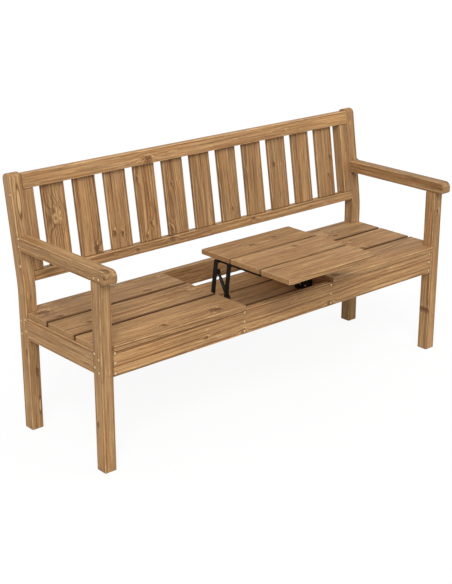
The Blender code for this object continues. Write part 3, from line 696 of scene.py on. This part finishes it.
for side, word in SIDES:
    inward = (-side, 0, 0)
    spots = [((side * PLATE_FACE, FRONT_PIVOT.y + y, FRONT_PIVOT.z + z), inward) for y, z in BRACKET_SCREWS]
    screws(f"bracket_screws_{word}", "frame", spots, BRACKET_HEAD, False)
    bar_low, bar_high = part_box(f"table_bar_{word}")
    flange = min(abs(bar_low.x), abs(bar_high.x)) + FLANGE_MIDDLE
    pitch = (bar_high.y - bar_low.y - 2 * BAR_END_MARGIN) / (BAR_SCREW_COUNT - 1)
    rows = [bar_low.y + BAR_END_MARGIN + step * pitch for step in range(BAR_SCREW_COUNT)]
    spots = [((side * flange, y, bar_high.z - PLATE_THICKNESS), (0, 0, -1)) for y in rows]
    screws(f"table_bar_screws_{word}", "table", spots, BAR_HEAD, False)
    for cap, body, across, centre, profile in (
        ("lower_pin_cap", "frame", ARM_FACE, FRONT_PIVOT, PIN_CAP),
        ("strut_pin_cap", f"front_arm_{word}", STRUT_FACE, STRUT_PIN, STRUT_CAP),
        ("strut_head_cap", f"strut_rod_{word}", STRUT_FACE, STRUT_HEAD, STRUT_CAP),
    ):
        round_piece(f"{cap}_{word}", body, facing((side * across, *centre.yz), inward), profile)

# Screws seen only from below: shelf boards into the cross rails, battens into the table's boards
CROSS_RAIL_X = 0.222
SHELF_EDGE_MARGIN = 0.025
TABLE_FRONT_MARGIN = 0.045
TABLE_REAR_MARGIN = 0.035
BATTEN_END_MARGIN = 0.010
spots = []
for number in (1, 2, 3):
    low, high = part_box(f"shelf_board_{number}")
    spots += [((side * CROSS_RAIL_X, y, low.z), (0, 0, -1))
              for side, word in SIDES for y in (low.y + SHELF_EDGE_MARGIN, high.y - SHELF_EDGE_MARGIN)]
screws("shelf_screws", "frame", spots)
spots = []
batten_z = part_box("table_batten_left")[0].z
for row in ("front", "middle", "rear"):
    low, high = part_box(f"table_board_{row}")
    for side, word in SIDES:
        batten_low, batten_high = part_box("table_batten_left" if side < 0 else "table_batten_right")
        for y in (low.y + TABLE_FRONT_MARGIN, high.y - TABLE_REAR_MARGIN):
            if batten_low.y + BATTEN_END_MARGIN < y < batten_high.y - BATTEN_END_MARGIN:
                spots.append((((batten_low.x + batten_high.x) / 2, y, batten_z), (0, 0, -1)))
screws("batten_screws", "table", spots)


# Floor, light and camera
FLOOR_REACH = 40.0
# How much of the floor's white, where it is seen, is glow: the rest takes the object's shadow
FLOOR_GLOW = 0.90
SKY_STRENGTH = 0.58


def seen_directly(n):
    """1 for rays from the camera, from a reflection or through glass, and 0 for the light that bounces."""
    rays = n.node("ShaderNodeLightPath", {}).outputs
    seen = n.math("MAXIMUM", rays["Is Camera Ray"], rays["Is Glossy Ray"])
    return n.math("MAXIMUM", seen, rays["Is Transmission Ray"])


def make_floor():
    """A floor that looks white but keeps the object's shadow, and throws back the light of a grey one."""
    form = bmesh.new()
    corners = ((-1, -1), (1, -1), (1, 1), (-1, 1))
    form.faces.new([form.verts.new((x * FLOOR_REACH, y * FLOOR_REACH, 0.0)) for x, y in corners])
    mesh = bpy.data.meshes.new("floor")
    form.to_mesh(mesh)
    form.free()
    floor = bpy.data.objects.new("floor", mesh)
    bpy.context.scene.collection.objects.link(floor)
    n = new_material("pale_floor")
    n.tree.nodes.clear()
    white = n.node("ShaderNodeBsdfDiffuse", {0: WHITE}).outputs[0]
    glow = n.node("ShaderNodeEmission", {0: WHITE}).outputs[0]
    pale = n.node("ShaderNodeMixShader", {0: FLOOR_GLOW, 1: white, 2: glow}).outputs[0]
    grey = n.node("ShaderNodeBsdfDiffuse", {0: FLOOR_GREY}).outputs[0]
    both = n.node("ShaderNodeMixShader", {0: seen_directly(n), 1: grey, 2: pale}).outputs[0]
    n.node("ShaderNodeOutputMaterial", {0: both})
    mesh.materials.append(n.owner)


def make_world():
    """A soft sky that lights the scene and is seen as plain white."""
    world = bpy.data.worlds.new("soft_studio")
    bpy.context.scene.world = world
    n = Nodes(world)
    n.tree.nodes.clear()
    sky = n.node("ShaderNodeBackground", {0: WHITE, 1: SKY_STRENGTH}).outputs[0]
    white = n.node("ShaderNodeBackground", {0: WHITE, 1: 1.0}).outputs[0]
    both = n.node("ShaderNodeMixShader", {0: seen_directly(n), 1: sky, 2: white}).outputs[0]
    n.node("ShaderNodeOutputWorld", {0: both})


def make_sun(name, direction, strength, softness):
    """A sun that shines from direction, with a softness in degrees."""
    lamp = bpy.data.lights.new(name, "SUN")
    lamp.energy = strength
    lamp.angle = math.radians(softness)
    sun = bpy.data.objects.new(name, lamp)
    bpy.context.scene.collection.objects.link(sun)
    sun.rotation_euler = Vector(direction).to_track_quat("Z", "Y").to_euler()


make_floor()
make_world()
make_sun("key", (-0.62, -0.70, 0.80), strength=2.1, softness=30)
make_sun("fill", (0.75, -0.55, 0.60), strength=0.45, softness=50)

# The camera fitted to the photo
CAMERA_PLACE = (-2.8359, -3.0349, 1.8765)
CAMERA_PITCH = math.radians(70.1859)
CAMERA_HEADING = math.radians(-41.4154)
camera_data = bpy.data.cameras.new("camera")
camera_data.lens = 76.8
camera_data.sensor_width = 36.0
camera = bpy.data.objects.new("camera", camera_data)
bpy.context.scene.collection.objects.link(camera)
camera.location = CAMERA_PLACE
camera.rotation_euler = Euler((CAMERA_PITCH, 0.0, CAMERA_HEADING))
bpy.context.scene.camera = camera
bpy.context.scene.view_settings.view_transform = "Standard"
